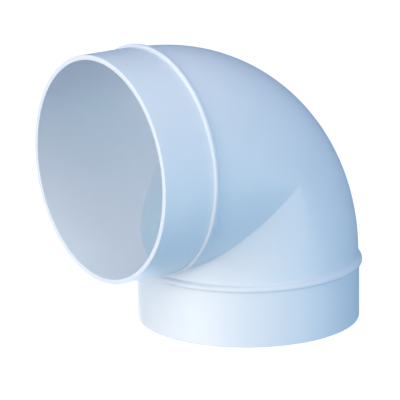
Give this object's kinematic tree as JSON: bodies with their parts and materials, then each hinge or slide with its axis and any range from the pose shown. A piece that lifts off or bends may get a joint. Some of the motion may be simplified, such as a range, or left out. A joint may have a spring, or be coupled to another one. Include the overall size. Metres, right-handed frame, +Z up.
{
  "type": "flue elbow",
  "caption": "Hollow 90 degree elbow for round ventilation duct, with a plain round spigot and a raised stop bead at each end and a sharp inner corner.",
  "frame": {"origin": "under the middle of the part's bounding box, on the surface that the outlet rim stands on", "axes": "-X out of the inlet, -Z out of the outlet, +Y across the part's mirror plane, +Z up"},
  "size_m": [0.1314, 0.1026, 0.1313],
  "materials": {
    "white_plastic": "smooth, soft sheen"
  },
  "bodies": {
    "root": {"inlet_spigot": "white_plastic", "inlet_stop_bead": "white_plastic", "bend_shell": "white_plastic", "outlet_stop_bead": "white_plastic", "outlet_spigot": "white_plastic"}
  },
  "joints": []
}
